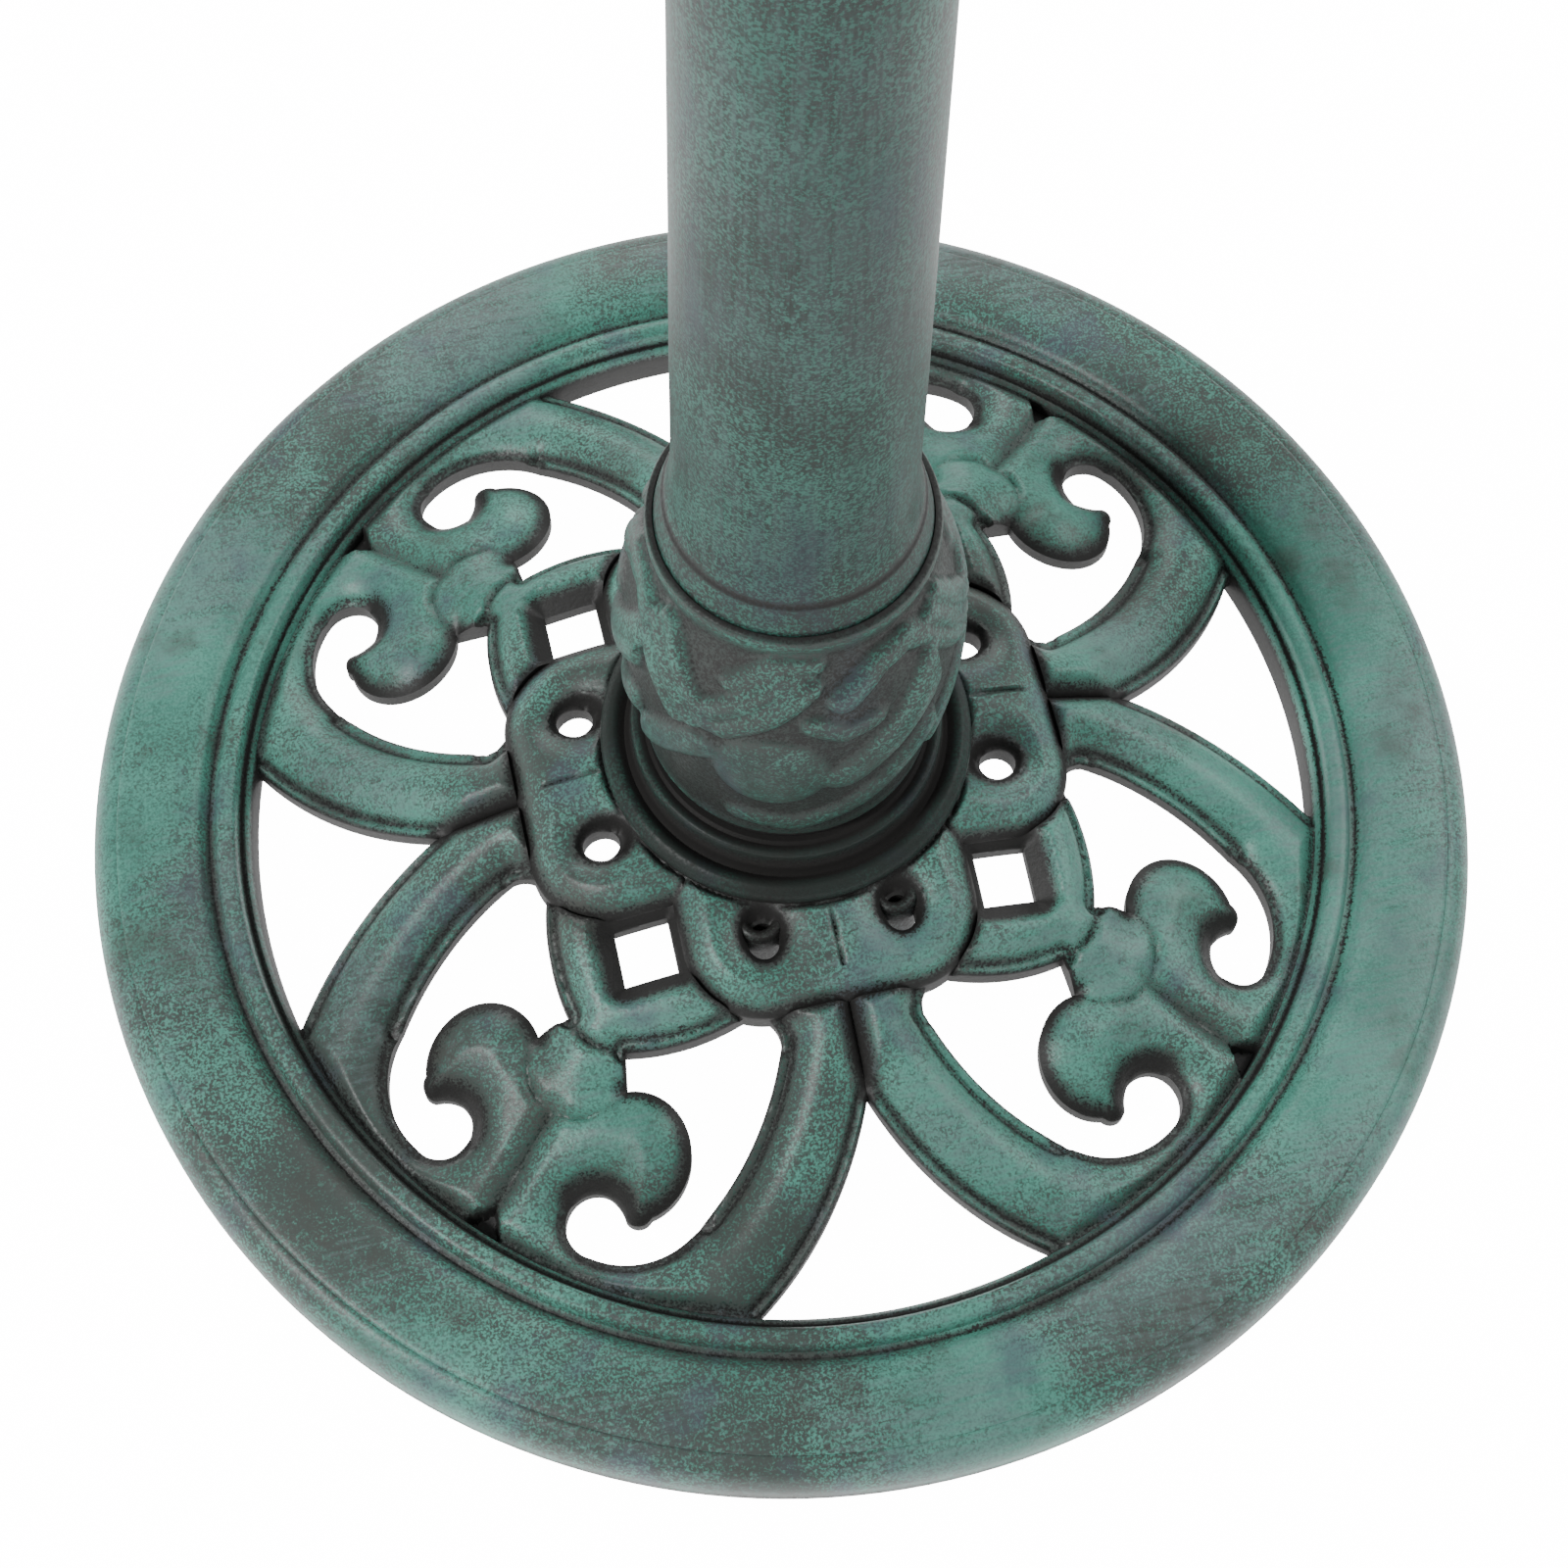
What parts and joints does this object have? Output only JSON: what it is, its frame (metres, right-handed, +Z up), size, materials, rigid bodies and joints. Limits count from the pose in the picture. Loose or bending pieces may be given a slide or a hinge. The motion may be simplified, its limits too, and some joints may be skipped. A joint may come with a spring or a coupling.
{
  "type": "drinking fountain",
  "caption": "Free-standing pedestal drinking fountain: open scroll-work round base, leaf collar, tapered column, round bowl and a push-button bubbler.",
  "frame": {"origin": "on the ground, at the middle of the round base", "axes": "+Z up along the column, -Y is the front, where the button faces the drinker; the scroll panels lie on the diagonals"},
  "size_m": [0.4499, 0.45, 0.8881],
  "materials": {
    "moulded_verdigris": "moulded, brushed verdigris paint over dark brown, satin",
    "leaf_verdigris": "moulded relief, verdigris on the high parts, dark in the hollows",
    "tube_verdigris": "brushed lengthwise, grey green",
    "antique_brass": "aged cast brass, polished where touched",
    "machined_brass": "turned brass",
    "stainless": "brushed stainless steel",
    "zinc_screw": "zinc plated",
    "black_rubber": "moulded rubber",
    "copper_pipe": "drawn copper tube",
    "waste_plastic": "extruded pipe"
  },
  "bodies": {
    "stand": {"base_ring": "moulded_verdigris", "hub_knot": "moulded_verdigris", "bowl": "moulded_verdigris", "column_flange": "tube_verdigris", "leaf_collar": "leaf_verdigris", "capital": "leaf_verdigris", "column_tube": "tube_verdigris", "flange_screws": "zinc_screw", "head_screws": "zinc_screw", "drain_body": "machined_brass", "drain_gasket": "black_rubber", "drain_nut": "machined_brass", "strainer": "stainless", "strainer_screw": "stainless", "waste_pipe": "waste_plastic", "bubbler_body": "antique_brass", "nozzle": "antique_brass", "stream_insert": "stainless", "mouth_guard": "antique_brass", "deck_gasket": "black_rubber", "shank_washer": "stainless", "shank_nut": "machined_brass", "button_bezel": "antique_brass", "button_spring": "stainless", "valve_body": "machined_brass", "riser_pipe": "copper_pipe", "inlet_connector": "machined_brass", "inlet_washer": "black_rubber", "scroll_panel_1": "moulded_verdigris", "scroll_panel_2": "moulded_verdigris", "scroll_panel_3": "moulded_verdigris", "scroll_panel_4": "moulded_verdigris"},
    "button": {"push_button": "antique_brass", "plunger": "stainless", "seat_washer": "black_rubber"},
    "flow_adjuster": {"flow_screw": "machined_brass"},
    "stop_lever": {"valve_lever": "stainless", "valve_ball": "stainless", "lever_screw": "zinc_screw"}
  },
  "joints": [
    {"name": "button_press", "type": "slide", "parent": "stand", "child": "button", "axis": [0, 1, 0], "range_m": [0, 0.005], "stiffness_N_per_m": 900, "springref_m": -0.003, "deforming": ["button_spring"]},
    {"name": "flow_adjust", "type": "hinge", "parent": "stand", "child": "flow_adjuster", "pos_m": [0.018, 0.052, 0.817], "axis": [1, 0, 0], "range_deg": [0, 270]},
    {"name": "stop_valve_turn", "type": "hinge", "parent": "stand", "child": "stop_lever", "pos_m": [0, 0.052, 0.717], "axis": [-1, 0, 0], "range_deg": [0, 90]}
  ]
}
